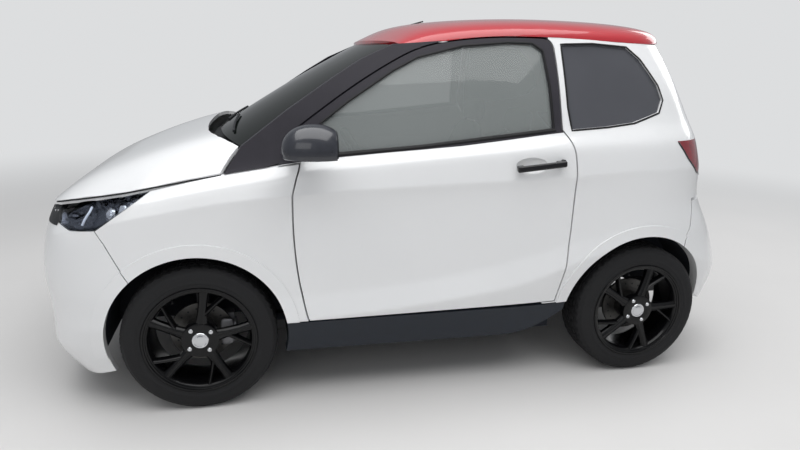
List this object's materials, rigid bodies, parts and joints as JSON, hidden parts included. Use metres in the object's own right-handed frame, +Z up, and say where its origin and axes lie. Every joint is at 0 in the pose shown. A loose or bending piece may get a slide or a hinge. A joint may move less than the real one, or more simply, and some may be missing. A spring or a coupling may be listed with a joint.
{
  "type": "microcar",
  "caption": "Two-seat microcar with a hatchback body, hinged doors, bonnet and tailgate, steered front wheels and a coupled steering wheel",
  "frame": {"origin": "on the ground, under the centre of the bounding box", "axes": "+X rearward, +Y to the right of the car, +Z up"},
  "size_m": [2.9582, 1.81, 1.4854],
  "materials": {
    "paint_white": "gloss",
    "paint_red": "gloss",
    "dark_trim": "satin",
    "black_gloss": "gloss",
    "black_plastic": "matte",
    "clear_glass": "polished",
    "dark_glass": "polished",
    "lamp_lens": "polished",
    "lamp_red": "gloss",
    "tyre": "matte",
    "frame_paint": "satin",
    "liner": "matte",
    "engine_metal": "cast",
    "steel": "brushed",
    "seat_cloth": "woven",
    "plate": "satin"
  },
  "bodies": {
    "body": {"antenna": "black_plastic", "arch_liners": "liner", "bulkhead": "liner", "chassis_frame": "frame_paint", "cowl": "black_plastic", "dashboard": "black_plastic", "engine": "engine_metal", "exhaust": "steel", "floor_pan": "liner", "front_bumper": "paint_white", "front_plate": "plate", "front_suspension": "frame_paint", "front_wings": "paint_white", "fuel_tank": "black_plastic", "grille": "black_gloss", "headlamp_lenses": "lamp_lens", "headlamps": "black_gloss", "pillar_frame": "dark_trim", "quarter_windows": "dark_glass", "rear_bumper": "paint_white", "rear_suspension": "frame_paint", "roof": "paint_red", "seats": "seat_cloth", "side_panels": "paint_white", "sills": "black_plastic", "tail_lamps": "lamp_red", "windscreen": "dark_glass", "wipers": "black_plastic"},
    "door_left": {"door_left": "paint_white", "door_left_frame": "dark_trim", "door_left_window": "clear_glass", "door_left_handle": "black_gloss", "mirror_left": "black_gloss"},
    "door_right": {"door_right": "paint_white", "door_right_frame": "dark_trim", "door_right_window": "clear_glass", "door_right_handle": "black_gloss", "mirror_right": "black_gloss"},
    "bonnet": {"bonnet": "paint_white"},
    "tailgate": {"tailgate": "paint_white", "tailgate_window": "dark_glass", "rear_plate": "plate"},
    "knuckle_left": {"knuckle_left": "steel"},
    "knuckle_right": {"knuckle_right": "steel"},
    "steering_wheel": {"steering_wheel": "black_plastic"},
    "wheel_front_left": {"rim_front_left": "black_gloss", "tyre_front_left": "tyre"},
    "wheel_front_right": {"rim_front_right": "black_gloss", "tyre_front_right": "tyre"},
    "wheel_rear_left": {"rim_rear_left": "black_gloss", "tyre_rear_left": "tyre"},
    "wheel_rear_right": {"rim_rear_right": "black_gloss", "tyre_rear_right": "tyre"}
  },
  "joints": [
    {"name": "door_left_hinge", "type": "hinge", "parent": "body", "child": "door_left", "pos_m": [-0.605, -0.7, 0.65], "axis": [0, 0, -1], "range_deg": [0, 65]},
    {"name": "door_right_hinge", "type": "hinge", "parent": "body", "child": "door_right", "pos_m": [-0.605, 0.7, 0.65], "axis": [0, 0, 1], "range_deg": [0, 65]},
    {"name": "bonnet_hinge", "type": "hinge", "parent": "body", "child": "bonnet", "pos_m": [-0.66, 0, 0.968], "axis": [0, 1, 0], "range_deg": [0, 50]},
    {"name": "tailgate_hinge", "type": "hinge", "parent": "body", "child": "tailgate", "pos_m": [1.08, 0, 1.395], "axis": [0, -1, 0], "range_deg": [0, 75]},
    {"name": "steer_left", "type": "hinge", "parent": "body", "child": "knuckle_left", "pos_m": [-0.88, -0.58, 0.281], "axis": [0, 0, 1], "range_deg": [-30, 30]},
    {"name": "steer_right", "type": "hinge", "parent": "body", "child": "knuckle_right", "pos_m": [-0.88, 0.58, 0.281], "axis": [0, 0, 1], "range_deg": [-30, 30]},
    {"name": "steering_column", "type": "hinge", "parent": "body", "child": "steering_wheel", "pos_m": [-0.215, -0.29, 0.85], "axis": [0.8829, 0, 0.4695], "range_deg": [-450, 450]},
    {"name": "wheel_front_left_spin", "type": "hinge", "parent": "knuckle_left", "child": "wheel_front_left", "pos_m": [-0.88, -0.64, 0.281], "axis": [0, 1, 0], "continuous": true},
    {"name": "wheel_rear_left_spin", "type": "hinge", "parent": "body", "child": "wheel_rear_left", "pos_m": [0.92, -0.64, 0.281], "axis": [0, 1, 0], "continuous": true},
    {"name": "wheel_front_right_spin", "type": "hinge", "parent": "knuckle_right", "child": "wheel_front_right", "pos_m": [-0.88, 0.64, 0.281], "axis": [0, 1, 0], "continuous": true},
    {"name": "wheel_rear_right_spin", "type": "hinge", "parent": "body", "child": "wheel_rear_right", "pos_m": [0.92, 0.64, 0.281], "axis": [0, 1, 0], "continuous": true}
  ],
  "couplings": [
    {"joint": "steer_right", "follows": "steer_left", "ratio": 1},
    {"joint": "steering_column", "follows": "steer_left", "ratio": 15}
  ]
}
